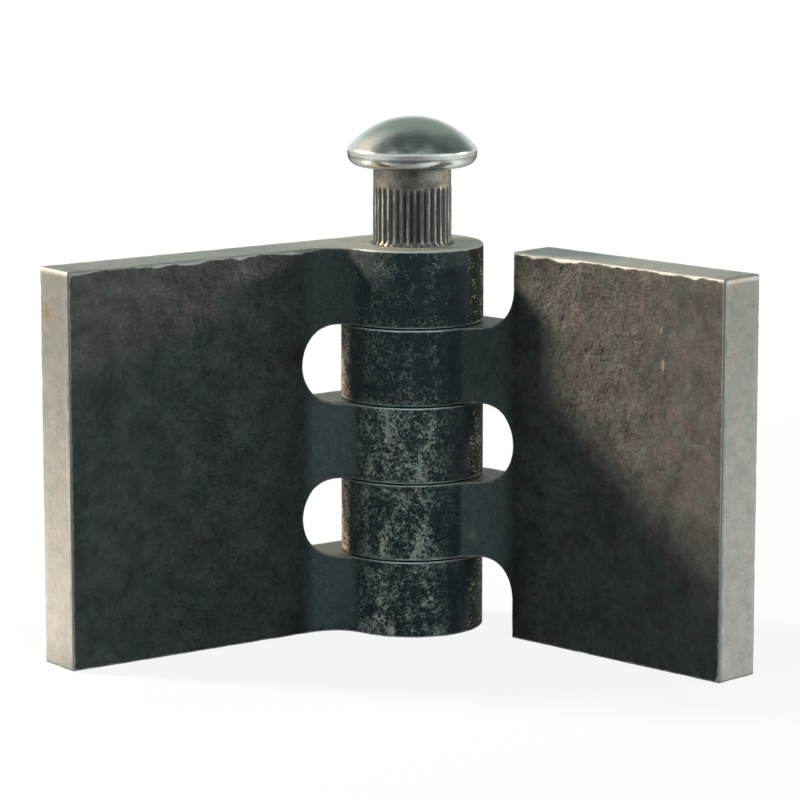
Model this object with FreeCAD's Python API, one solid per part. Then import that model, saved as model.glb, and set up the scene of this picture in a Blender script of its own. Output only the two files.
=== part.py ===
import FreeCAD
import Part
import math
import os

# Leaves, both cut from one drawn steel profile, in millimetres
leaf_height = 60.0
leaf_reach = 60.0  # pin axis to the sawn outer end of a leaf
plate_thickness = 8.0
barrel_diameter = 22.0
neck_fillet = 6.0  # hollow between the plate's front and the barrel
plate_corner = 0.3  # rounded long edges at the outer end
edge_break = 0.15  # filed edges of the sawn ends and the knuckles
smooth_angle = 20.0  # faces that meet at less run on without an edge
rest_angle = 100.0  # between the fronts of the two leaves as they stand

# Knuckles, cut by a round cutter that leaves notches with full-radius bottoms
knuckle_count = 5
knuckle_gap = 0.25  # axial play between two knuckles
notch_room = 7.4  # barrel to the bottom of a notch

# Pin
pin_diameter = 12.0
bore_clearance = 0.1  # on the radius
bore_chamfer = 0.4
pin_end_setback = 0.5  # driven home, the pin's end stays this far inside the bore
pin_end_chamfer = 1.0
head_diameter = 20.0
head_height = 7.5
head_rim_height = 2.6  # underside to the foot of the dome
head_lower_round = 1.8
head_upper_round = 0.6
neck_length = 3.0  # plain stretch under the head

# Straight knurl that grips the top knuckle
knurl_length = 9.0
knurl_count = 34
knurl_clearance = 0.04  # crest to bore, on the radius
knurl_depth = 0.4
knurl_groove_angle = 90.0
knurl_run_out = 0.8

barrel_radius = barrel_diameter / 2
pin_radius = pin_diameter / 2
bore_radius = pin_radius + bore_clearance
knuckle_pitch = leaf_height / knuckle_count
notch_depth = barrel_radius + notch_room
AXIS_FOOT = FreeCAD.Vector(0, 0, 0)
UP = FreeCAD.Vector(0, 0, 1)


def straight(start, end):
    return Part.LineSegment(FreeCAD.Vector(*start), FreeCAD.Vector(*end)).toShape()


def through(start, middle, end):
    return Part.Arc(FreeCAD.Vector(*start), FreeCAD.Vector(*middle), FreeCAD.Vector(*end)).toShape()


def on_circle(centre, radius, degrees):
    """Point on a circle about a centre in the XY plane."""
    turn = math.radians(degrees)
    return (centre[0] + radius * math.cos(turn), centre[1] + radius * math.sin(turn), 0)


def turn_about(centre, radius, start, end):
    """Arc about a centre in the XY plane, between two angles in degrees."""
    angles = (start, (start + end) / 2, end)
    return through(*[on_circle(centre, radius, angle) for angle in angles])


def leaf_profile():
    """Section of a leaf that reaches along +X: plate, hollow neck and barrel, with its flat back at +Y."""
    back = barrel_radius
    front = back - plate_thickness
    hollow_y = front - neck_fillet
    hollow_x = math.sqrt((barrel_radius + neck_fillet) ** 2 - hollow_y ** 2)
    touch = math.degrees(math.atan2(hollow_y, hollow_x))
    corner_x = leaf_reach - plate_corner
    front_y = front + plate_corner
    back_y = back - plate_corner
    edges = [
        turn_about((0, 0), barrel_radius, 90, 360 + touch),
        turn_about((hollow_x, hollow_y), neck_fillet, 180 + touch, 90),
        straight((hollow_x, front, 0), (corner_x, front, 0)),
        turn_about((corner_x, front_y), plate_corner, -90, 0),
        straight((leaf_reach, front_y, 0), (leaf_reach, back_y, 0)),
        turn_about((corner_x, back_y), plate_corner, 0, 90),
        straight((corner_x, back, 0), (0, back, 0)),
    ]
    return Part.Face(Part.Wire(edges))


def notch(index):
    """Room for a knuckle of the other leaf, right through. At an end of the leaf it runs out."""
    radius = (knuckle_pitch + knuckle_gap) / 2
    middle = (index + 0.5) * knuckle_pitch
    mouth = -2 * barrel_radius
    stop = notch_depth - radius
    deepest = (notch_depth, 0, middle)
    bend = radius * math.sqrt(0.5)
    low = middle - radius
    high = middle + radius
    if index == 0:
        low = middle - knuckle_pitch
        corner = (notch_depth, 0, low)
        lower = [straight((mouth, 0, low), corner), straight(corner, deepest)]
    else:
        bottom_round = through((stop, 0, low), (stop + bend, 0, middle - bend), deepest)
        lower = [straight((mouth, 0, low), (stop, 0, low)), bottom_round]
    if index == knuckle_count - 1:
        high = middle + knuckle_pitch
        corner = (notch_depth, 0, high)
        upper = [straight(deepest, corner), straight(corner, (mouth, 0, high))]
    else:
        top_round = through(deepest, (stop + bend, 0, middle + bend), (stop, 0, high))
        upper = [top_round, straight((stop, 0, high), (mouth, 0, high))]
    outline = Part.Face(Part.Wire(lower + upper + [straight((mouth, 0, high), (mouth, 0, low))]))
    outline.translate(FreeCAD.Vector(0, mouth, 0))
    return outline.extrude(FreeCAD.Vector(0, -2 * mouth, 0))


def sharp_edges(solid):
    """Edges where two faces of a sawn and milled leaf meet at an angle."""
    found = []
    for edge in solid.Edges:
        spot = edge.valueAt((edge.FirstParameter + edge.LastParameter) / 2)
        normals = []
        for face in solid.ancestorsOfType(edge, Part.Face):
            normals.append(face.normalAt(*face.Surface.parameter(spot)))
        if math.degrees(normals[0].getAngle(normals[-1])) > smooth_angle:
            found.append(edge)
    return found


def leaf(own_knuckles):
    """Leaf along +X with the numbered knuckles, counted from the bottom."""
    solid = leaf_profile().extrude(UP * leaf_height)
    for index in range(knuckle_count):
        if index not in own_knuckles:
            solid = solid.cut(notch(index))
    solid = solid.makeChamfer(edge_break, sharp_edges(solid))
    bore = Part.makeCylinder(bore_radius, leaf_height)
    mouth_radius = bore_radius + bore_chamfer
    lower_mouth = Part.makeCone(mouth_radius, bore_radius, bore_chamfer)
    upper_mouth = Part.makeCone(bore_radius, mouth_radius, bore_chamfer, UP * (leaf_height - bore_chamfer))
    return solid.cut([bore, lower_mouth, upper_mouth])


def head():
    """Domed head, from its flat underside at z = 0."""
    rim = head_diameter / 2
    rim_top = head_rim_height
    dome_height = head_height - rim_top
    dome_radius = (rim ** 2 + dome_height ** 2) / (2 * dome_height)
    slope = math.asin(rim / dome_radius) / 2
    dome_centre = head_height - dome_radius
    dome_middle = (dome_radius * math.sin(slope), 0, dome_centre + dome_radius * math.cos(slope))
    edges = [
        straight((0, 0, 0), (rim, 0, 0)),
        straight((rim, 0, 0), (rim, 0, rim_top)),
        through((rim, 0, rim_top), dome_middle, (0, 0, head_height)),
        straight((0, 0, head_height), (0, 0, 0)),
    ]
    solid = Part.Face(Part.Wire(edges)).revolve(AXIS_FOOT, UP, 360)
    for height, radius in ((0, head_lower_round), (rim_top, head_upper_round)):
        ring = [e for e in solid.Edges if e.BoundBox.ZLength < 1e-6 and abs(e.BoundBox.ZMin - height) < 1e-6]
        solid = solid.makeFillet(radius, ring)
    return solid


def lathe(*corners):
    """Solid turned about the pin's axis from corners given as (radius, height)."""
    points = [FreeCAD.Vector(radius, 0, height) for radius, height in corners]
    outline = Part.makePolygon(points + points[:1])
    return Part.Face(outline).revolve(AXIS_FOOT, UP, 360)


def knurl():
    """Straight knurl standing on z = 0: grooves that run out at both ends, crests just proud of the pin."""
    crest = bore_radius - knurl_clearance
    root = crest - knurl_depth
    half_pitch = math.pi / knurl_count
    point = root + crest * half_pitch / math.tan(math.radians(knurl_groove_angle / 2))
    corners = []
    for index in range(2 * knurl_count + 1):
        radius = point if index % 2 else root
        turn = index * half_pitch
        corners.append(FreeCAD.Vector(radius * math.cos(turn), radius * math.sin(turn), 0))
    ridges = Part.Face(Part.makePolygon(corners)).extrude(UP * knurl_length)
    top = knurl_length
    rise = knurl_run_out / 2
    skin = lathe((0, 0), (pin_radius, 0), (crest, rise), (crest, top - rise), (pin_radius, top), (0, top))
    run = knurl_run_out
    core = lathe((0, 0), (pin_radius, 0), (root, run), (root, top - run), (pin_radius, top), (0, top))
    return core.fuse(ridges.common(skin))


def pin():
    """Pin with its knurl standing on the mouth of the top knuckle, as before it is driven home."""
    shank_length = leaf_height - pin_end_setback - neck_length - knurl_length
    tip = pin_radius - pin_end_chamfer
    side = [(pin_radius, pin_end_chamfer), (pin_radius, shank_length)]
    shank = lathe((0, 0), (tip, 0), *side, (0, shank_length))
    neck = Part.makeCylinder(pin_radius, neck_length)
    solid = shank
    height = shank_length
    for piece, length in ((knurl(), knurl_length), (neck, neck_length), (head(), head_height)):
        piece.translate(UP * height)
        solid = solid.fuse(piece)
        height += length
    solid = solid.removeSplitter()
    solid.translate(UP * (leaf_height - shank_length))
    return solid


across = FreeCAD.Vector(1, 0, 0)
frame_leaf = leaf(range(0, knuckle_count, 2)).mirror(AXIS_FOOT, across)
door_leaf = leaf(range(1, knuckle_count, 2))
door_leaf.rotate(AXIS_FOOT, UP, rest_angle - 180)

os.makedirs("parts", exist_ok=True)
for name, shape in (("frame_leaf", frame_leaf), ("door_leaf", door_leaf), ("hinge_pin", pin())):
    solid = shape.Solids[0]
    solid.exportStep(f"parts/{name}.step")
    print(name, len(shape.Solids), shape.isValid(), round(solid.Volume, 1))
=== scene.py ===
# %% [markdown]
# # A weld-on hinge with a lift-out pin
# Two rolled steel leaves meet in a barrel of five knuckles, and a drive-in pin with a domed head stands
# a little raised above them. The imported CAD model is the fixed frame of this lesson: it gives the sizes,
# the places and the joints. Blender adds what the solids leave out: rolled scale, saw-cut ends, nicked
# edges, handling marks, and the light they are seen in.

# %% Load the frame
import math

import bmesh
import bpy
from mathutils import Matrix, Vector, kdtree, noise


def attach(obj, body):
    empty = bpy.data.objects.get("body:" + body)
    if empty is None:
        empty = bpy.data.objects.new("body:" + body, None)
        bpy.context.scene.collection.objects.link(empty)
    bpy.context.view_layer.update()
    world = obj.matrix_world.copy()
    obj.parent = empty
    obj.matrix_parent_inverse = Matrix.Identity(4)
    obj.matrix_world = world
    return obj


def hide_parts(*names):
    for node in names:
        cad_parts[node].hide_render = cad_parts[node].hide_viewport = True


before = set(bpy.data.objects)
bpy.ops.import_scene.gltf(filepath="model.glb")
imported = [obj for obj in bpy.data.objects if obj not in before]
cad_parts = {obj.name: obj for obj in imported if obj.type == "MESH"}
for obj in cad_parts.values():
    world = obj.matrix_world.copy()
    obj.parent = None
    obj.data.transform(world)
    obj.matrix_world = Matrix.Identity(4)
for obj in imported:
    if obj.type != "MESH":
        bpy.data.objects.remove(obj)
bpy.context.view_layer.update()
mm = 0.001

# %% [markdown]
# ## The camera
# The hinge is seen from in front of its open angle and a little from above, through a long lens, so the
# upright edges stay nearly parallel. A camera can be placed by coordinates, but a turn, a tilt and a
# distance around a point near the pin's axis are easier to read and to correct.

# %% Camera
camera_turn = math.radians(-35.71)
camera_tilt = math.radians(10.11)
camera_distance = 619.1 * mm
camera_aim = Vector((-1.53, 1.10, 35.28)) * mm
camera_lens = 179.5
sensor_width = 36.0
view_depth = 20.0


def toward(turn, tilt):
    """The direction from the hinge to something that stands at this turn and tilt around it."""
    level = math.cos(tilt)
    return Vector((math.sin(turn) * level, -math.cos(turn) * level, math.sin(tilt)))


camera_data = bpy.data.cameras.new("camera")
camera_data.lens = camera_lens
camera_data.sensor_width = sensor_width
camera_data.clip_end = view_depth
camera = bpy.data.objects.new("camera", camera_data)
camera.location = camera_aim + toward(camera_turn, camera_tilt) * camera_distance
camera.rotation_mode = "QUATERNION"
camera.rotation_quaternion = (-toward(camera_turn, camera_tilt)).to_track_quat("-Z", "Y")
bpy.context.scene.collection.objects.link(camera)
bpy.context.scene.camera = camera
bpy.context.scene.view_settings.view_transform = "Standard"
print("camera at", [round(c / mm, 1) for c in camera.location])

# %% [markdown]
# ## Small helpers for node trees
# Every finish below is a tree of shader nodes. A helper that adds a node, sets its values and joins its
# sockets in one line keeps such a tree as short as its drawing would be. Three more give the sums that
# come back all the time: a product, a straight line through a value, and a mix of two colours.

# %% Node helpers


def add(tree, kind, sockets=None, **settings):
    """A new node, its settings and its sockets: a socket takes a value or another node's output."""
    made = tree.nodes.new(kind)
    for name, value in settings.items():
        setattr(made, name, value)
    for key, value in (sockets or {}).items():
        if isinstance(value, bpy.types.NodeSocket):
            tree.links.new(value, made.inputs[key])
        else:
            made.inputs[key].default_value = value
    return made


def blank(name):
    """A material with an empty tree."""
    made = bpy.data.materials.new(name)
    made.use_nodes = True
    made.node_tree.nodes.clear()
    return made, made.node_tree


def sums(tree, operation, *values):
    """One Math node."""
    return add(tree, "ShaderNodeMath", dict(enumerate(values)), operation=operation).outputs[0]


def times(tree, first, *others):
    """All the values multiplied."""
    for other in others:
        first = sums(tree, "MULTIPLY", first, other)
    return first


def line(tree, value, gain, base):
    """A value times a gain, on top of a base."""
    return sums(tree, "MULTIPLY_ADD", value, gain, base)


def mixed(tree, share, first, second):
    """Two colours mixed: the first where share is 0, the second where it is 1."""
    return add(tree, "ShaderNodeMix", {0: share, 6: first, 7: second}, data_type="RGBA").outputs[2]


print("node helpers ready")

# %% [markdown]
# ## The floor
# The hinge stands on a plain pale sheet that fills the picture. It is matt and takes the object's shadow,
# and a little of its own light, seen by the camera and in reflections only, lifts it to white. The lamps
# can then stay at a level at which a colour looks as it is written. The sheet is a cool grey, because
# what it throws back on the leaves is cool.

# %% Floor
floor_reach = 3.0
floor_drop = 0.05 * mm
floor_colour = (0.115, 0.142, 0.158, 1.0)
near_lift = 0.88
far_lift = 1.0
lift_start = 0.10
lift_end = 0.70

floor_mesh = bmesh.new()
bmesh.ops.create_grid(floor_mesh, x_segments=1, y_segments=1, size=floor_reach)
floor_data = bpy.data.meshes.new("floor")
floor_mesh.to_mesh(floor_data)
floor_mesh.free()
floor = bpy.data.objects.new("floor", floor_data)
floor.location.z = -floor_drop
bpy.context.scene.collection.objects.link(floor)


def seen_rays(tree):
    """1 for what the camera sees straight, in a reflection or through glass, and 0 for other light."""
    path = add(tree, "ShaderNodeLightPath")
    mirrored = sums(tree, "MAXIMUM", path.outputs["Is Camera Ray"], path.outputs["Is Glossy Ray"])
    return sums(tree, "MAXIMUM", mirrored, path.outputs["Is Transmission Ray"])


floor_paint, tree = blank("floor_sheet")
matt = add(tree, "ShaderNodeBsdfDiffuse", {"Color": floor_colour})
spot = add(tree, "ShaderNodeTexCoord").outputs["Object"]
away = add(tree, "ShaderNodeVectorMath", {0: spot}, operation="LENGTH").outputs["Value"]
fade = add(
    tree, "ShaderNodeMapRange",
    {"Value": away, "From Min": lift_start, "From Max": lift_end, "To Min": near_lift, "To Max": far_lift},
    interpolation_type="SMOOTHSTEP",
)
lift = add(tree, "ShaderNodeEmission", {"Strength": times(tree, seen_rays(tree), fade.outputs[0])})
both = add(tree, "ShaderNodeAddShader", {0: matt.outputs[0], 1: lift.outputs[0]})
add(tree, "ShaderNodeOutputMaterial", {"Surface": both.outputs[0]})
floor_data.materials.append(floor_paint)
print("floor", 2 * floor_reach, "m square")

# %% [markdown]
# ## The lamps
# The long sides of the leaves catch soft light from high on the left and, weaker, from the right, while
# the room in front of the hinge is dim: each leaf shades the other, so light falls across their fronts in
# a slanting band. Area lamps named by turn, tilt and level do this. A lamp's level is the brightness that
# a white sheet facing it would show, so it doesn't change when the lamp is moved away.

# %% Lamps
lamp_distance = 0.9
daylight = (0.99, 0.81, 0.625)
faint_daylight = (1.0, 0.88, 0.74)
cool_sky = (0.66, 0.92, 1.0)
tube_white = (0.84, 0.97, 1.0)


def softbox(name, turn, tilt, width, height, level, colour):
    """A rectangular lamp that looks at the middle of the hinge."""
    lamp = bpy.data.lights.new(name, "AREA")
    lamp.shape = "RECTANGLE"
    lamp.size = width
    lamp.size_y = height
    lamp.energy = level * math.pi ** 2 * lamp_distance ** 2
    lamp.color = colour
    holder = bpy.data.objects.new(name, lamp)
    heading = toward(camera_turn + math.radians(turn), math.radians(tilt))
    holder.location = camera_aim + heading * lamp_distance
    holder.rotation_mode = "QUATERNION"
    holder.rotation_quaternion = (-heading).to_track_quat("-Z", "Y")
    bpy.context.scene.collection.objects.link(holder)


softbox("left_window", -104, 29.5, 0.14, 0.12, 1.48, daylight)
softbox("right_window", 100, 12.5, 0.12, 0.07, 0.40, faint_daylight)
softbox("right_fill", 62, 15, 0.50, 0.40, 0.072, cool_sky)
for tube_turn in (-40, 4, 36):
    softbox(f"ceiling_tube_{tube_turn}", tube_turn, 62, 0.34, 0.03, 0.062, tube_white)

# %% [markdown]
# ## The room that steel mirrors
# Polished steel shows the room itself, so a hinge in an empty white world looks like chalk. Cards stand
# around it as walls and a ceiling, and lie on the floor as its darker and brighter parts. A card is a
# flat sheet with a glow that fades out towards an oval edge, because a hard edge would show in the pin's
# head as a line. The cards show only in reflections and light nothing.

# %% Room cards
solid_core = 0.4


def room_card(name, place, faces, width, height, colour):
    """A soft-edged oval of the room, seen only in reflections."""
    panel = bmesh.new()
    bmesh.ops.create_grid(panel, x_segments=1, y_segments=1, size=0.5)
    bmesh.ops.scale(panel, vec=Vector((width, height, 1.0)), verts=panel.verts)
    data = bpy.data.meshes.new(name)
    panel.to_mesh(data)
    panel.free()
    paint, tree = blank(name)
    spot = add(tree, "ShaderNodeTexCoord").outputs["Object"]
    oval = add(tree, "ShaderNodeMapping", {"Vector": spot, "Scale": (2.0 / width, 2.0 / height, 1.0)})
    reach = add(tree, "ShaderNodeVectorMath", {0: oval.outputs[0]}, operation="LENGTH").outputs["Value"]
    solid = add(
        tree, "ShaderNodeMapRange", {"Value": reach, "From Min": 1.0, "From Max": solid_core},
        interpolation_type="SMOOTHSTEP",
    ).outputs[0]
    glow = add(tree, "ShaderNodeEmission", {"Color": colour, "Strength": 1.0})
    clear = add(tree, "ShaderNodeBsdfTransparent")
    both = add(tree, "ShaderNodeMixShader", {0: solid, 1: clear.outputs[0], 2: glow.outputs[0]})
    add(tree, "ShaderNodeOutputMaterial", {"Surface": both.outputs[0]})
    data.materials.append(paint)
    card = bpy.data.objects.new(name, data)
    card.location = place
    card.rotation_mode = "QUATERNION"
    card.rotation_quaternion = faces.to_track_quat("Z", "Y")
    card.visible_camera = False
    card.visible_diffuse = False
    card.visible_transmission = False
    card.visible_shadow = False
    bpy.context.scene.collection.objects.link(card)


def wall_card(name, turn, tilt, distance, width, height, colour):
    """A card that stands around the hinge and looks at it."""
    heading = toward(camera_turn + math.radians(turn), math.radians(tilt))
    room_card(name, camera_aim + heading * distance, -heading, width, height, colour)


wall_card("front_wall", 0, 6, 1.6, 2.6, 0.95, (0.10, 0.12, 0.12, 1.0))
wall_card("ceiling", 0, 82, 0.9, 3.2, 1.7, (0.085, 0.11, 0.107, 1.0))
wall_card("back_wall", 172, 43, 1.7, 3.2, 2.2, (0.34, 0.425, 0.375, 1.0))
wall_card("left_wall", -122, 30, 1.6, 1.5, 1.5, (1.08, 0.98, 0.88, 1.0))
wall_card("right_wall", 112, 36, 1.6, 2.8, 2.4, (0.165, 0.225, 0.20, 1.0))

# %% [markdown]
# ## Cards on the floor
# The cards on the floor overlap. Two sheets at one height would fight for the same place, and which one
# shows could change from run to run, so each lies a hair above the one before it.

# %% Floor cards
first_card_height = 0.18 * mm
card_rise = 0.02 * mm
floor_cards = (
    ("front_shade", 0, 0.36, 1.1, 0.95, (0.10, 0.12, 0.12, 1.0)),
    ("back_shade", 180, 0.58, 1.35, 1.35, (0.12, 0.13, 0.12, 1.0)),
    ("left_shade", -112, 0.42, 0.52, 0.52, (0.36, 0.34, 0.30, 1.0)),
    ("right_shade", 112, 0.46, 0.56, 0.56, (0.40, 0.42, 0.36, 1.0)),
    ("left_glow", -84, 0.105, 0.15, 0.15, (3.5, 3.06, 2.68, 1.0)),
    ("right_glow", 71, 0.12, 0.26, 0.26, (1.35, 1.4, 1.38, 1.0)),
)
up = Vector((0.0, 0.0, 1.0))
for index, (name, turn, distance, width, height, colour) in enumerate(floor_cards):
    place = toward(camera_turn + math.radians(turn), 0.0) * distance
    place.z = first_card_height + card_rise * index
    room_card(name, place, up, width, height, colour)
print("floor cards", len(floor_cards))

# %% [markdown]
# ## The world
# The world is white where it is seen and a faint blue where it lights, because the shaded steel in the
# photo is bluish while its background is white. A Light Path node tells the two kinds of ray apart.

# %% World
room_light = 0.06
room_tint = (0.57, 0.95, 1.11, 1.0)
seen_tint = (0.93, 1.0, 0.985, 1.0)

world = bpy.data.worlds.new("studio")
bpy.context.scene.world = world
world.use_nodes = True
tree = world.node_tree
tree.nodes.clear()
seen = seen_rays(tree)
strength = line(tree, seen, 1.0 - room_light, room_light)
tint = mixed(tree, seen, room_tint, seen_tint)
sky = add(tree, "ShaderNodeBackground", {"Color": tint, "Strength": strength})
add(tree, "ShaderNodeOutputWorld", {"Surface": sky.outputs[0]})
print("world light", room_light)

# %% [markdown]
# ## The leaves: a copy that can be worked
# A leaf's shape is right in the CAD model, but its mesh is loose triangles with long thin faces, and
# nothing can be dented on a face without points. The copy is merged into one closed skin, its flat
# triangles are joined, and cutting planes then lay a fine grid over it, as a marking-out gauge would.

# %% Workable copies
leaf_height = 60.0 * mm
leaf_reach = 60.0 * mm
plate_thickness = 8.0 * mm
barrel_radius = 11.0 * mm
plate_front = plate_thickness - barrel_radius
plate_start = 15.0 * mm
edge_margin = 1.0 * mm
grid_step = 0.6 * mm
same_place = 1e-6
flat_angle = math.radians(0.5)
squarely = 0.9
door_turn = math.radians(80)
leaf_out = {
    "frame_leaf": Vector((-1.0, 0.0, 0.0)),
    "door_leaf": Vector((math.cos(door_turn), -math.sin(door_turn), 0.0)),
}
leaf_front = {
    "frame_leaf": Vector((0.0, -1.0, 0.0)),
    "door_leaf": Vector((-math.sin(door_turn), -math.cos(door_turn), 0.0)),
}


def merged_copy(node):
    """The node's mesh as one closed skin with its flat triangles joined."""
    skin = bmesh.new()
    skin.from_mesh(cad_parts[node].data)
    bmesh.ops.remove_doubles(skin, verts=skin.verts, dist=same_place)
    bmesh.ops.dissolve_limit(
        skin, angle_limit=flat_angle, use_dissolve_boundaries=False,
        verts=skin.verts, edges=skin.edges, delimit=set(),
    )
    return skin


def cut_lines(skin, direction, places, wanted):
    """Cuts the wanted faces along planes square to a direction, at these distances from the axis."""
    faces = [f for f in skin.faces if wanted(f)]
    edges = {e for f in faces for e in f.edges}
    verts = {v for f in faces for v in f.verts}
    region = list(verts) + list(edges) + faces
    for place in places:
        cut = bmesh.ops.bisect_plane(
            skin, geom=region, dist=same_place, plane_co=direction * place, plane_no=direction,
        )
        region = cut["geom"]


def steps(low, high):
    """Places about a grid step apart from low to high, both included."""
    count = max(1, round((high - low) / grid_step))
    return [low + (high - low) * i / count for i in range(count + 1)]


def gridded(node):
    """A merged copy with a fine grid on its plate and rings round its barrel."""
    skin = merged_copy(node)
    out, front = leaf_out[node], leaf_front[node]
    along = steps(plate_start, leaf_reach - edge_margin)
    across = steps(edge_margin - barrel_radius, barrel_radius - edge_margin)
    cut_lines(skin, up, steps(edge_margin, leaf_height - edge_margin), lambda f: True)
    cut_lines(skin, out, along, lambda f: max(v.co.dot(out) for v in f.verts) > plate_start)
    cut_lines(skin, out, across, lambda f: abs(f.normal.z) > squarely)
    cut_lines(skin, front, across, lambda f: max(abs(f.normal.z), f.normal.dot(out)) > squarely)
    return skin


skins = {node: gridded(node) for node in leaf_out}
print("faces", {node: len(skin.faces) for node, skin in skins.items()})

# %% [markdown]
# ## How near an edge is
# Wear starts at the edges, so every point keeps its distance to the nearest one as an attribute that the
# materials can read. A search tree finds the nearest edge point quickly. The upright edges at a leaf's
# outer end are small roundings without a clear angle, so they are found by their place.

# %% Edge distance
edge_angle = math.radians(25)
corner_reach = 0.32 * mm
wear_reach = 1.2 * mm


def on_corner(point, out, front):
    """Whether a point lies on the small rounding of an upright edge at the leaf's outer end."""
    depth = point.dot(front)
    beside = min(abs(depth - plate_front), abs(depth + barrel_radius)) < corner_reach
    return beside and point.dot(out) > leaf_reach - corner_reach


def along_edges(skin, out, front):
    """The points where two faces meet at a clear angle, and those of the small roundings."""
    found = {v for v in skin.verts if on_corner(v.co, out, front)}
    for edge in skin.edges:
        if len(edge.link_faces) == 2 and edge.calc_face_angle(0.0) > edge_angle:
            found.update(edge.verts)
    skin.verts.index_update()
    return sorted(found, key=lambda v: v.index)


def edge_distance(skin, out, front):
    """Keeps, for every point, how near it is to an edge: 1 on the edge and 0 at wear_reach."""
    layer = skin.verts.layers.float.new("edge_wear")
    rim = along_edges(skin, out, front)
    tree = kdtree.KDTree(len(rim))
    for index, vert in enumerate(rim):
        tree.insert(vert.co, index)
    tree.balance()
    for vert in skin.verts:
        vert[layer] = max(0.0, 1.0 - tree.find(vert.co)[2] / wear_reach)
    return rim


rims = {node: edge_distance(skin, leaf_out[node], leaf_front[node]) for node, skin in skins.items()}
print("edge points", {node: len(rim) for node, rim in rims.items()})

# %% [markdown]
# ## Edges that have been handled
# The edges of a rolled and sawn bar are never true: the saw leaves a burr along the top of the front, and
# knocks flatten the other edges into small nicks. The points along every edge are pushed in by a noise
# that depends only on where they are, so it is the same at each run.

# %% Nicked edges
nick_depth = 0.08 * mm
large_dent = 2.2 * mm
small_dent = 0.9 * mm
long_tear = 5.0 * mm
short_tear = 1.7 * mm
on_plane = 0.02 * mm
burr_depth = {"frame_leaf": 0.52 * mm, "door_leaf": 0.60 * mm}
leaf_seed = {"frame_leaf": 0.0, "door_leaf": 10.0}


def ripple(point, size, seed):
    """Soft noise from -1 to 1 with lumps of about this size."""
    return noise.noise(point / size + Vector((seed, 0.0, 0.0)))


def knock(point, normal, seed):
    """How a point on any edge has been knocked in."""
    dent = max(0.0, ripple(point, large_dent, seed)) + 0.5 * max(0.0, ripple(point, small_dent, seed))
    return -normal * nick_depth * dent


def burr(point, depth, seed):
    """How far the saw has torn the top front edge down."""
    lump = 0.42 + 1.5 * ripple(point, long_tear, seed) + 0.9 * ripple(point, short_tear, seed)
    return -up * depth * min(1.0, max(0.0, lump))


def nick_edges(skin, rim, front, depth, seed):
    """Knocks the edges in, and draws the top front edge down into an uneven burr."""
    skin.normal_update()
    moves = []
    for vert in rim:
        on_front = abs(vert.co.dot(front) - plate_front) < on_plane
        if on_front and vert.co.z > leaf_height - edge_margin:
            moves.append((vert, burr(vert.co, depth, seed)))
        else:
            moves.append((vert, knock(vert.co, vert.normal, seed)))
    for vert, move in moves:
        vert.co += move
    return max(move.length for vert, move in moves)


for node, skin in skins.items():
    deepest = nick_edges(skin, rims[node], leaf_front[node], burr_depth[node], leaf_seed[node])
    print(node, "deepest mark", round(deepest / mm, 2), "mm")

# %% [markdown]
# ## Which faces are scale and which are cut
# The broad faces and the barrel keep the dark skin of hot rolling. The saw and the cutter have been at
# the ends, the tops, the notches and the bore, and bare steel shows there. Faces could be picked by hand,
# but a face's own direction and place tell what cut it, so the choice holds if the grid changes.

# %% Faces by finish
scale_finish = 0
cut_finish = 1
bore_reach = 6.6 * mm
upright_limit = 0.12


def mark_finish(skin, out):
    """Gives the cut faces the second finish, and the rest the first."""
    skin.normal_update()
    for face in skin.faces:
        middle = face.calc_center_median()
        sloped = abs(face.normal.z) > upright_limit
        end_face = middle.dot(out) > leaf_reach - corner_reach
        notch_wall = face.normal.dot(out) < -squarely and middle.dot(out) > plate_start
        in_bore = middle.xy.length < bore_reach
        cut = sloped or end_face or notch_wall or in_bore
        face.material_index = cut_finish if cut else scale_finish
        face.smooth = True


for node, skin in skins.items():
    mark_finish(skin, leaf_out[node])
    print(node, sum(f.material_index == cut_finish for f in skin.faces), "cut faces")

# %% [markdown]
# ## Patterns for steel
# Stains, grain and wear are all noise at different sizes. These helpers give a noise by the size of its
# lumps in millimetres, and cut a soft window out of it, so that a finish below reads like a recipe. A
# noise that is read at a shifted or stretched place differs from the first, or turns into streaks.

# %% Pattern helpers


def cloud(tree, point, size, detail=4.0, roughness=0.6, distortion=0.0):
    """Noise whose lumps are about this many millimetres across."""
    made = add(
        tree, "ShaderNodeTexNoise",
        {"Vector": point, "Scale": 1.0 / (size * mm), "Detail": detail, "Roughness": roughness,
         "Distortion": distortion},
    )
    return made.outputs["Fac"]


def window(tree, value, low, high):
    """0 below low, 1 above high, and a soft step between; the other way round if low is above high."""
    made = add(
        tree, "ShaderNodeMapRange", {"Value": value, "From Min": low, "From Max": high},
        interpolation_type="SMOOTHSTEP",
    )
    return made.outputs[0]


def close_to(tree, value, middle, far, near):
    """1 where a value is within near of the middle, and 0 from far on."""
    gap = sums(tree, "ABSOLUTE", sums(tree, "SUBTRACT", value, middle))
    return window(tree, gap, far, near)


def dimmed(tree, colour, share):
    """A colour times a number."""
    return add(tree, "ShaderNodeVectorMath", {0: colour, "Scale": share}, operation="SCALE").outputs[0]


def stretched(tree, point, along_x, along_y, along_z):
    """The point with its axes scaled, so that a noise read there becomes streaks."""
    return add(tree, "ShaderNodeMapping", {"Vector": point, "Scale": (along_x, along_y, along_z)}).outputs[0]


def shifted(tree, point, by):
    """The point moved, so that a second noise differs from the first."""
    step = (by * mm, by * mm, by * mm)
    return add(tree, "ShaderNodeMapping", {"Vector": point, "Location": step}).outputs[0]


print("patterns ready")

# %% [markdown]
# ## Where on the hinge
# A finish changes from the plate to the neck and round the barrel, so the materials need to know where
# they are: how far a point is from the pin's axis, how high it is, and which way it faces from the axis.
# All of it comes from Object coordinates, so the pattern stays on its piece when the hinge moves.

# %% Place helpers
front_turn = math.radians(-40)
left_turn = math.radians(-130)


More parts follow.
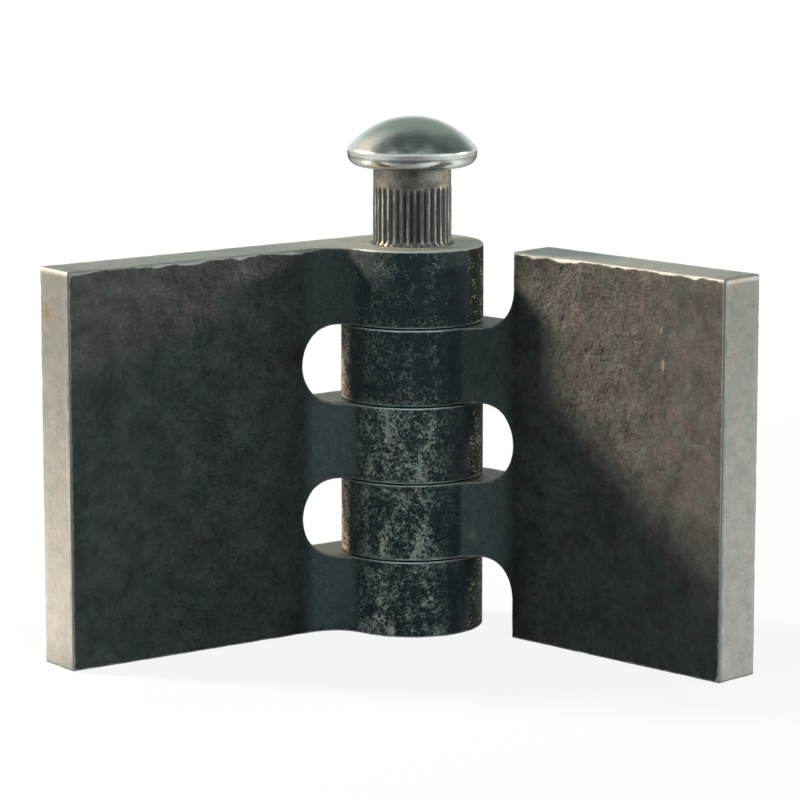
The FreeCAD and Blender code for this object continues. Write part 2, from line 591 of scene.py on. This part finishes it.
def axis_place(tree, point):
    """How far a point is from the pin's axis, its direction from there, and its three numbers."""
    parts = add(tree, "ShaderNodeSeparateXYZ", {0: point}).outputs
    level = add(tree, "ShaderNodeCombineXYZ", {0: parts[0], 1: parts[1], 2: 0.0}).outputs[0]
    away = add(tree, "ShaderNodeVectorMath", {0: level}, operation="LENGTH").outputs["Value"]
    heading = add(tree, "ShaderNodeVectorMath", {0: level}, operation="NORMALIZE").outputs[0]
    return away, heading, parts


def turned_to(tree, heading, turn):
    """1 where a direction from the axis points this way, 0 at a right angle to it and -1 behind."""
    way = toward(turn, 0.0)
    return add(tree, "ShaderNodeVectorMath", {0: heading, 1: way}, operation="DOT_PRODUCT").outputs["Value"]


print("barrel's front at", round(math.degrees(front_turn)), "its left at", round(math.degrees(left_turn)))

# %% [markdown]
# ## Rolled scale: its colour
# Mill scale is a thin dark oxide, brown here and greenish there, with a fine grain and faint clouds a few
# millimetres wide. Beside the necks it is painted darker, as painted shade. On the necks' fronts, where the
# bar was drawn round, it is smoother, lighter and bluer, the lighter blue partly a painted sheen, and the
# necks are painted darker higher up, as painted shade. On the barrel it is darkest. Each of these is one
# mix on top of the last.

# %% Rolled scale colour
brown_scale = (0.173, 0.162, 0.158, 1)
green_scale = (0.151, 0.164, 0.158, 1)
# the necks' lighter, bluer colour: smoother scale, partly a painted sheen
neck_scale_with_sheen = (0.243, 0.277, 0.281)
barrel_scale = (0.079, 0.105, 0.117, 1)

rolled_scale, tree = blank("rolled_scale")
place = add(tree, "ShaderNodeTexCoord").outputs["Object"]
from_axis, heading, parts = axis_place(tree, place)
height = parts[2]
facing = turned_to(tree, heading, front_turn)
at_front = window(tree, facing, 0.34, 0.46)
not_behind = window(tree, facing, -0.76, 0.0)
barrel_skin = window(tree, from_axis, barrel_radius + 0.35 * mm, barrel_radius + 0.05 * mm)
on_barrel = times(tree, barrel_skin, not_behind)
on_neck = times(tree, window(tree, from_axis, 19.5 * mm, 16.0 * mm), at_front)
on_neck = sums(tree, "MAXIMUM", on_neck, on_barrel)

hue = cloud(tree, place, 2.6, 4.0, 0.6, 0.8)
tone = cloud(tree, shifted(tree, place, 37), 5.0, 6.0, 0.68, 0.4)
grain = cloud(tree, place, 0.34, 3.0, 0.7)
streak = cloud(tree, stretched(tree, shifted(tree, place, 61), 1.0, 1.0, 0.8), 1.1, 5.0, 0.7, 0.6)
skin_colour = mixed(tree, window(tree, hue, 0.38, 0.62), brown_scale, green_scale)
skin_colour = dimmed(tree, skin_colour, line(tree, tone, 2.1, 0.03))
# painted shade: the plate beside the necks' fronts is painted darker
painted_shade_beside_neck = times(tree, window(tree, from_axis, 27.0 * mm, 17.0 * mm), at_front)
skin_colour = dimmed(tree, skin_colour, line(tree, painted_shade_beside_neck, -0.42, 1.0))
# painted shade: the necks are painted darker higher up
painted_shade_upper_neck = window(tree, height, 34.0 * mm, 40.0 * mm)
neck_sheen_and_shade = dimmed(tree, neck_scale_with_sheen, line(tree, painted_shade_upper_neck, -0.38, 1.0))
skin_colour = mixed(tree, on_neck, skin_colour, neck_sheen_and_shade)
skin_colour = mixed(tree, on_barrel, skin_colour, barrel_scale)
mottle = line(tree, grain, 1.1, line(tree, streak, 1.1, -0.10))
skin_colour = dimmed(tree, skin_colour, mottle)
print("rolled_scale colour", len(tree.nodes), "nodes")

# %% [markdown]
# ## Rolled scale: its wrinkles
# On the inner half of the plates the scale is wrinkled like old leather, where it has lifted in flakes.
# Drawn dark lines would look like worms, so most of it is relief: a crinkled skin, and steps where a
# second noise passes two of its values, as between the layers of a flake. Only the lower of the two steps
# is also painted darker, as a faint painted shade in the crease.

# %% Scale wrinkles
crinkle = cloud(tree, shifted(tree, place, 47), 1.0, 5.0, 0.62, 0.8)
fold = cloud(tree, shifted(tree, place, 13), 2.8, 5.0, 0.66, 0.7)
lifted = window(tree, cloud(tree, shifted(tree, place, 11), 7.0, 4.0, 0.65), 0.34, 0.56)
inner_half = window(tree, from_axis, 56.0 * mm, 34.0 * mm)
off_neck = window(tree, from_axis, 17.0 * mm, 20.0 * mm)
leathery = times(tree, lifted, inner_half, off_neck)
flake = sums(tree, "ADD", window(tree, fold, 0.42, 0.455), window(tree, fold, 0.53, 0.565))
# painted shade: a faint dark line painted along the lower step of each flake
painted_crease_shade = times(tree, close_to(tree, fold, 0.435, 0.022, 0.004), leathery)
skin_colour = dimmed(tree, skin_colour, line(tree, painted_crease_shade, -0.30, 1.0))
folds = times(tree, line(tree, crinkle, 2.2, times(tree, flake, 1.9)), leathery)
print("with wrinkles", len(tree.nodes), "nodes")

# %% [markdown]
# ## Rolled scale: where it is rubbed
# Hands and the swinging leaf have rubbed the barrel's front, little on the upper knuckles, most on the
# middle one, and along each knuckle's lower edge. A number for the rubbing adds these up, with patches
# and upright columns that make it uneven. The barrel's sides are kept apart, since they wear otherwise.

# %% Rubbed places
knuckle_pitch = 12.0 * mm

sideways = turned_to(tree, heading, left_turn)
on_side = times(tree, window(tree, facing, 0.66, 0.46), on_barrel)
on_left = times(tree, window(tree, sideways, -0.1, 0.1), on_side)
less_right = line(tree, window(tree, sideways, -0.60, -0.34), 0.7, 0.3)
on_front = times(tree, window(tree, facing, 0.55, 0.86), on_barrel, less_right)

lower_knuckles = window(tree, height, 38.0 * mm, 34.5 * mm)
knuckle_share = sums(tree, "FRACT", sums(tree, "DIVIDE", height, knuckle_pitch))
lower_edge = window(tree, knuckle_share, 0.22, 0.03)
patches = cloud(tree, shifted(tree, place, 83), 2.8, 3.0, 0.6)
column = cloud(tree, stretched(tree, shifted(tree, place, 31), 1.0, 1.0, 0.1), 2.0, 2.0)
most_rubbed = line(tree, window(tree, height, 22.0 * mm, 26.0 * mm), 0.06, 0.09)
rubbing = line(tree, patches, 0.8, line(tree, column, 0.45, -0.175))
rubbing = line(tree, lower_knuckles, most_rubbed, rubbing)
rubbing = line(tree, lower_edge, 0.08, rubbing)
print("with rubbing", len(tree.nodes), "nodes")

# %% [markdown]
# ## Rolled scale: a lace of bare steel
# Where the scale is rubbed thin it first turns into a grey film of flecks, and where it is through, bare
# steel shows as a lace of spots with a few thin threads. Both compare the rubbing with a noise: blotches
# of three quarters of a millimetre, and flecks of about half that. One size alone looks like dust or
# like camouflage.

# %% Barrel lace
film_grey = (0.164, 0.203, 0.206)
cool_steel = (0.430, 0.510, 0.498, 1)
warm_steel = (0.620, 0.606, 0.545, 1)

blotch = cloud(tree, shifted(tree, place, 23), 0.75, 4.0, 0.70, 1.0)
fleck = cloud(tree, shifted(tree, place, 97), 0.42, 4.0, 0.66, 1.0)
clump = cloud(tree, shifted(tree, place, 43), 1.6, 3.0, 0.6)
feather = cloud(tree, stretched(tree, shifted(tree, place, 67), 0.8, 0.8, 1.5), 1.1, 4.0, 0.66, 2.2)
film = times(tree, window(tree, sums(tree, "ADD", rubbing, blotch), 0.84, 1.16), on_front)
film_colour = dimmed(tree, film_grey, line(tree, window(tree, fleck, 0.40, 0.66), 1.75, 0.24))
speck = sums(tree, "ADD", fleck, line(tree, blotch, 1.2, rubbing))
spots = window(tree, speck, 1.62, 1.93)
rubbed_fleck = window(tree, line(tree, fleck, 0.5, rubbing), 0.70, 0.90)
threads = times(tree, close_to(tree, feather, 0.5, 0.035, 0.006), rubbed_fleck, 0.40)
lace = sums(tree, "MAXIMUM", spots, threads)
lace = times(tree, lace, on_front, line(tree, lower_knuckles, 0.48, 0.52))
lace_colour = mixed(tree, window(tree, clump, 0.42, 0.58), cool_steel, warm_steel)
print("with lace", len(tree.nodes), "nodes")

# %% [markdown]
# ## Rolled scale: painted side light, sparkles, chips and marks
# The barrel's sides are dark, and painted as the light falls on them: the left side lighter and browner,
# as painted light, the right side nearly black, as painted shade. Their tan sparkles are partly bare steel
# and partly painted glints, denser on the left. The edges are chipped along the attribute that was kept
# for wear, and three small marks show where something has struck the door leaf: two on its plate and one
# on a neck. A mark is a stretched ball around its place with a ragged rim.

# %% Marks
# tan sparkles: bare steel flecks, partly painted glints
tan_sparkle_and_glint = (0.520, 0.460, 0.370, 1)
# painted light and shade on the barrel's sides: left lighter and browner, right nearly black
painted_shade_right_side = (0.014, 0.016, 0.015, 1)
painted_light_left_side = (0.094, 0.083, 0.070, 1)
chip_grey = (0.300, 0.310, 0.290, 1)
mark_grey = (0.420, 0.410, 0.360, 1)
mark_places = (
    (11.28, -46.71, 51.16, 0.35, 0.55),
    (11.36, -47.16, 46.15, 0.35, 1.05),
    (2.89, -11.76, 15.54, 0.80, 0.90),
)

dust = cloud(tree, shifted(tree, place, 51), 0.30, 2.0, 0.6)
denser = line(tree, on_left, 0.14, dust)
# sparkles: bare steel flecks and partly painted glints, denser on the lit left side
sparkle_and_glint = times(tree, window(tree, line(tree, clump, 0.55, denser), 0.89, 0.97), on_side)
near_edge = add(tree, "ShaderNodeAttribute", attribute_name="edge_wear").outputs["Fac"]
chip = cloud(tree, shifted(tree, place, 71), 0.8, 4.0, 0.6)
edge_chip = window(tree, line(tree, chip, 0.5, near_edge), 1.12, 1.20)
marks = 0.0
for *middle, half_width, half_height in mark_places:
    middle = Vector(middle) * mm
    offset = add(tree, "ShaderNodeVectorMath", {0: place, 1: middle}, operation="SUBTRACT").outputs[0]
    across = 1.0 / (half_width * mm)
    ball = stretched(tree, offset, across, across, 1.0 / (half_height * mm))
    reach = add(tree, "ShaderNodeVectorMath", {0: ball}, operation="LENGTH").outputs["Value"]
    ragged = line(tree, fleck, 1.8, sums(tree, "SUBTRACT", reach, 0.9))
    marks = sums(tree, "MAXIMUM", marks, window(tree, ragged, 1.15, 0.55))
print("with marks", len(tree.nodes), "nodes")

# %% [markdown]
# ## Rolled scale: its gloss
# The layers are now mixed in the order in which they lie on each other. The oxide is dull, and only the
# bare spots shine a little, as metal. The wrinkles and the grain are also a relief of a few hundredths
# of a millimetre, which the Bump node takes from the same patterns.

# %% Rolled scale shader
# the barrel's sides painted lit on the left and shaded on the right
painted_side_light = mixed(tree, on_left, painted_shade_right_side, painted_light_left_side)
scale_colour = mixed(tree, on_side, skin_colour, painted_side_light)
scale_colour = mixed(tree, film, scale_colour, film_colour)
scale_colour = mixed(tree, lace, scale_colour, lace_colour)
scale_colour = mixed(tree, sparkle_and_glint, scale_colour, tan_sparkle_and_glint)
scale_colour = mixed(tree, edge_chip, scale_colour, chip_grey)
scale_colour = mixed(tree, marks, scale_colour, mark_grey)
bare = sums(tree, "MAXIMUM", sums(tree, "MAXIMUM", lace, sparkle_and_glint), edge_chip)
relief = line(tree, tone, 0.9, line(tree, grain, 0.7, folds))
bump = add(tree, "ShaderNodeBump", {"Height": relief, "Strength": 0.9, "Distance": 0.08 * mm})
scale_shader = add(
    tree, "ShaderNodeBsdfPrincipled",
    {"Base Color": scale_colour, "Roughness": line(tree, grain, 0.24, 0.42),
     "Metallic": times(tree, bare, 0.5), "IOR": 1.40, "Specular IOR Level": 0.08,
     "Normal": bump.outputs[0]},
)
add(tree, "ShaderNodeOutputMaterial", {"Surface": scale_shader.outputs[0]})
print("rolled_scale", len(tree.nodes), "nodes")

# %% [markdown]
# ## Cut steel: its greys
# The saw-cut tops and ends are bare grey steel, half matt, with fine lines from the blade. Large stains,
# a pinkish bloom and smaller soiling make it uneven, and the high parts of the ends are painted a little
# darker, as painted shade. The tops are tinted as painted light: the frame leaf's top dull and cool and
# the door leaf's top brighter, which a tint does above the rest. Between the knuckles the metal is painted
# dark, as painted shade.

# %% Cut steel greys
green_grey = (0.290, 0.318, 0.298, 1)
warm_grey = (0.338, 0.342, 0.314, 1)
pink_bloom = (0.350, 0.318, 0.304, 1)
# painted light on the tops: the door leaf's top brighter, the frame leaf's dull and cool
painted_bright_top = (1.22, 1.22, 1.22, 1)
painted_cool_top = (0.86, 0.94, 0.95, 1)
no_change = (1.0, 1.0, 1.0, 1)

cut_steel, tree = blank("cut_steel")
place = add(tree, "ShaderNodeTexCoord").outputs["Object"]
from_axis, heading, parts = axis_place(tree, place)
height = parts[2]
near_edge = add(tree, "ShaderNodeAttribute", attribute_name="edge_wear").outputs["Fac"]
stain = cloud(tree, place, 5.0, 4.0, 0.6, 0.5)
grain = cloud(tree, place, 0.45, 5.0, 0.68)
blade = cloud(tree, stretched(tree, place, 0.3, 0.3, 4.0), 1.0, 3.0, 0.6)
bloom = cloud(tree, shifted(tree, place, 73), 1.8, 5.0, 0.68, 0.5)
soil = cloud(tree, shifted(tree, place, 17), 2.2, 5.0, 0.7, 0.4)
grey = mixed(tree, window(tree, stain, 0.35, 0.65), green_grey, warm_grey)
grey = mixed(tree, times(tree, window(tree, bloom, 0.40, 0.64), 0.6), grey, pink_bloom)
shade = line(tree, grain, 0.7, line(tree, blade, 0.15, line(tree, soil, 0.75, 0.205)))
shade = line(tree, window(tree, near_edge, 0.0, 0.7), 0.08, shade)
at_end = window(tree, from_axis, 55.0 * mm, 58.0 * mm)
# painted shade: the ends are painted darker towards the top
painted_shade_high_end = times(tree, window(tree, height, 30.0 * mm, 56.0 * mm), at_end)
grey = dimmed(tree, grey, times(tree, shade, line(tree, painted_shade_high_end, -0.16, 1.0)))
below_top = window(tree, height, leaf_height - 0.1 * mm, leaf_height - 0.2 * mm)
on_frame_leaf = window(tree, parts[0], -10.0 * mm, -24.0 * mm)
# painted light: each leaf's top tinted brighter or cooler as it catches the light
painted_top_light = mixed(tree, on_frame_leaf, painted_bright_top, painted_cool_top)
painted_top_light = mixed(tree, below_top, painted_top_light, no_change)
grey = add(tree, "ShaderNodeVectorMath", {0: grey, 1: painted_top_light}, operation="MULTIPLY").outputs[0]
# painted shade: between the knuckles the metal is painted dark
painted_shade_between_knuckles = times(tree, window(tree, from_axis, 21.0 * mm, 18.0 * mm), below_top)
grey = dimmed(tree, grey, line(tree, painted_shade_between_knuckles, -0.56, 1.0))
print("cut_steel greys", len(tree.nodes), "nodes")

# %% [markdown]
# ## Cut steel: rubbed edges, burr and rust
# Along the edges the metal is rubbed brighter. The rims of the knuckles on the barrel's front are painted
# as thin bright lips, a painted highlight, and the torn burr along the tops is pale in places. One spot
# of rust shows on the frame leaf's end, and tiny specks elsewhere.

# %% Cut steel edges
rubbed_steel = (0.48, 0.50, 0.49, 1)
# painted highlight colour for the knuckles' lips
painted_lip_colour = (0.86, 0.95, 0.96, 1)
burr_steel = (0.66, 0.67, 0.63, 1)
rust_orange = (0.300, 0.165, 0.090, 1)
rust_dark = (0.085, 0.048, 0.026, 1)
rust_place = Vector((-60.0, 9.0, 53.3)) * mm

rubbed = window(tree, line(tree, grain, 0.5, near_edge), 1.08, 1.28)
grey = mixed(tree, times(tree, rubbed, 0.60), grey, rubbed_steel)
outer_rim = window(tree, from_axis, barrel_radius - 0.24 * mm, barrel_radius - 0.14 * mm)
barrel_only = window(tree, from_axis, barrel_radius + 0.3 * mm, barrel_radius + 0.1 * mm)
# painted highlight: thin bright lips on the knuckles' rims at the barrel's front
painted_lip = times(tree, window(tree, turned_to(tree, heading, front_turn), 0.60, 0.98), outer_rim, barrel_only)
grey = mixed(tree, painted_lip, grey, painted_lip_colour)
torn = window(tree, height, leaf_height - 0.85 * mm, leaf_height - 0.70 * mm)
torn = times(tree, torn, window(tree, height, leaf_height - 0.05 * mm, leaf_height - 0.15 * mm))
on_plate = window(tree, from_axis, 19.0 * mm, 21.0 * mm)
before_end = window(tree, from_axis, leaf_reach - 0.1 * mm, leaf_reach - 0.4 * mm)
in_places = window(tree, cloud(tree, shifted(tree, place, 53), 4.0, 3.0), 0.40, 0.60)
pale_burr = times(tree, torn, on_plate, before_end, in_places)
grey = mixed(tree, times(tree, pale_burr, 0.8), grey, burr_steel)
rust_gap = add(tree, "ShaderNodeVectorMath", {0: place, 1: rust_place}, operation="DISTANCE").outputs["Value"]
rust_gap = line(tree, grain, 2.6 * mm, sums(tree, "SUBTRACT", rust_gap, 1.3 * mm))
grey = mixed(tree, times(tree, window(tree, rust_gap, 1.7 * mm, 0.1 * mm), 0.8), grey, rust_orange)
rust = window(tree, cloud(tree, shifted(tree, place, 19), 1.2, 3.0, 0.6), 0.735, 0.775)
grey = mixed(tree, rust, grey, rust_dark)
print("cut_steel edges", len(tree.nodes), "nodes")

# %% [markdown]
# ## Cut steel: its gloss
# Sawn steel is rough, so it mirrors only a blur. Treating it as a little more than half metal gives both
# the blur and the matt grey that dirt leaves. The lips are smoother, and rubbed edges, burr and rust are
# less metallic. The relief is grain and the blade's lines, which are flatter between the knuckles.

# %% Cut steel shader
rough = line(tree, painted_lip, -0.15, line(tree, grain, 0.2, 0.42))
worn = sums(tree, "MAXIMUM", pale_burr, rubbed)
metal = line(tree, rust, -0.6, line(tree, worn, -0.4, 0.6))
relief = line(tree, blade, line(tree, painted_shade_between_knuckles, -0.55, 0.6), grain)
bump = add(tree, "ShaderNodeBump", {"Height": relief, "Strength": 0.35, "Distance": 0.04 * mm})
cut_shader = add(
    tree, "ShaderNodeBsdfPrincipled",
    {"Base Color": grey, "Roughness": rough, "Metallic": metal, "Normal": bump.outputs[0]},
)
add(tree, "ShaderNodeOutputMaterial", {"Surface": cut_shader.outputs[0]})
print("cut_steel", len(tree.nodes), "nodes")

# %% [markdown]
# ## The leaves as pieces
# Each worked skin becomes an object that stands for its CAD leaf and rides on its body. Its sharp edges
# stay sharp, and normals weighted by the faces' areas keep the broad flats flat beside their fine rims.

# %% Leaf pieces
leaf_body = {"frame_leaf": "frame_side", "door_leaf": "door_side"}
sharp_angle = math.radians(50)

for node, skin in skins.items():
    data = bpy.data.meshes.new(node + "_rolled")
    skin.to_mesh(data)
    skin.free()
    data.set_sharp_from_angle(angle=sharp_angle)
    data.materials.append(rolled_scale)
    data.materials.append(cut_steel)
    piece = bpy.data.objects.new(node + "_rolled", data)
    bpy.context.scene.collection.objects.link(piece)
    weigh = piece.modifiers.new("even_normals", "WEIGHTED_NORMAL")
    weigh.keep_sharp = True
    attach(piece, leaf_body[node])
    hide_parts(node)
    print(piece.name, len(data.polygons), "faces")

# %% [markdown]
# ## The pin: neck and knurl
# The neck under the head and the shank are plain drawn steel with brown stains. The knurl is dark in its
# valleys and light on its crests, some more than others, and brightest at the foot; the light crests are
# partly worn bare and partly a painted highlight. The crests are found by their distance from the axis,
# and the upper end of the knurl is uneven from groove to groove.

# %% Pin knurl
pale_drawn = (0.245, 0.233, 0.204, 1)
stained_drawn = (0.138, 0.134, 0.119, 1)
dull_crest = (0.170, 0.172, 0.156, 1)
worn_and_highlit_crest = (0.58, 0.58, 0.53, 1)
valley = (0.148, 0.156, 0.142, 1)
knurl_foot = 60.0 * mm

turned_steel, tree = blank("turned_steel")
place = add(tree, "ShaderNodeTexCoord").outputs["Object"]
from_axis, _, parts = axis_place(tree, place)
height = parts[2]
grain = cloud(tree, place, 0.5, 6.0, 0.65)
stain = cloud(tree, shifted(tree, place, 29), 3.0, 5.0, 0.65, 0.5)
ridge = cloud(tree, stretched(tree, place, 1.0, 1.0, 0.08), 0.8, 3.0, 0.6)
crest_radius = line(tree, ridge, 0.30 * mm, 5.87 * mm)
crest = window(tree, sums(tree, "SUBTRACT", from_axis, crest_radius), 0.0, 0.08 * mm)
rub = cloud(tree, stretched(tree, shifted(tree, place, 5), 1.0, 1.0, 0.2), 0.7, 3.0)
foot = window(tree, height, knurl_foot + 1.6 * mm, knurl_foot + 0.6 * mm)
worn_and_highlit_share = sums(tree, "MAXIMUM", window(tree, rub, 0.36, 0.66), foot)
tick = cloud(tree, stretched(tree, shifted(tree, place, 3), 1.0, 1.0, 0.1), 0.5, 1.0)
knurl_top = line(tree, tick, 1.4 * mm, knurl_foot + 8.1 * mm)
plain = window(tree, sums(tree, "SUBTRACT", height, knurl_top), -0.1 * mm, 0.1 * mm)
shank = window(tree, height, knurl_foot + 0.05 * mm, knurl_foot - 0.15 * mm)
plain = sums(tree, "MAXIMUM", plain, shank)
crest = sums(tree, "MAXIMUM", crest, plain)
drawn = mixed(tree, window(tree, stain, 0.40, 0.62), pale_drawn, stained_drawn)
# crests partly worn bare and partly a painted highlight; valleys darker
crest_colour = mixed(tree, worn_and_highlit_share, dull_crest, worn_and_highlit_crest)
crest_colour = mixed(tree, plain, crest_colour, drawn)
knurled = mixed(tree, crest, valley, crest_colour)
knurled = dimmed(tree, knurled, line(tree, grain, 1.1, 0.45))
print("turned_steel knurl", len(tree.nodes), "nodes")

# %% [markdown]
# ## The pin: its head
# The head is turned and polished and mirrors the room, a little wavy from use, with fine rings from the
# lathe. A noise read by radius and height alone is the same all round, and so draws rings.

# %% Pin head
head_underside = 72.0 * mm
polished_steel = (0.58, 0.59, 0.555)

on_head = window(tree, height, head_underside - 0.1 * mm, head_underside + 0.1 * mm)
ring_place = add(tree, "ShaderNodeCombineXYZ", {0: from_axis, 1: 0.0, 2: height}).outputs[0]
turning = cloud(tree, ring_place, 0.25, 2.0, 0.5)
wave = cloud(tree, shifted(tree, place, 7), 2.2, 3.0, 0.55)
polished = dimmed(tree, polished_steel, line(tree, turning, 0.5, 0.75))
rough_low = line(tree, grain, 0.2, 0.33)
rough_head = line(tree, wave, 0.22, 0.12)
rough = add(tree, "ShaderNodeMix", {0: on_head, 2: rough_low, 3: rough_head}).outputs[0]
relief = line(tree, wave, 2.0, times(tree, turning, 0.03))
bump = add(tree, "ShaderNodeBump", {"Height": relief, "Strength": 0.5, "Distance": 0.05 * mm})
pin_shader = add(
    tree, "ShaderNodeBsdfPrincipled",
    {"Base Color": mixed(tree, on_head, knurled, polished), "Roughness": rough, "Metallic": 1.0,
     "Normal": bump.outputs[0]},
)
add(tree, "ShaderNodeOutputMaterial", {"Surface": pin_shader.outputs[0]})
pin_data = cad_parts["hinge_pin"].data
pin_data.materials.clear()
pin_data.materials.append(turned_steel)
print("turned_steel", len(tree.nodes), "nodes")
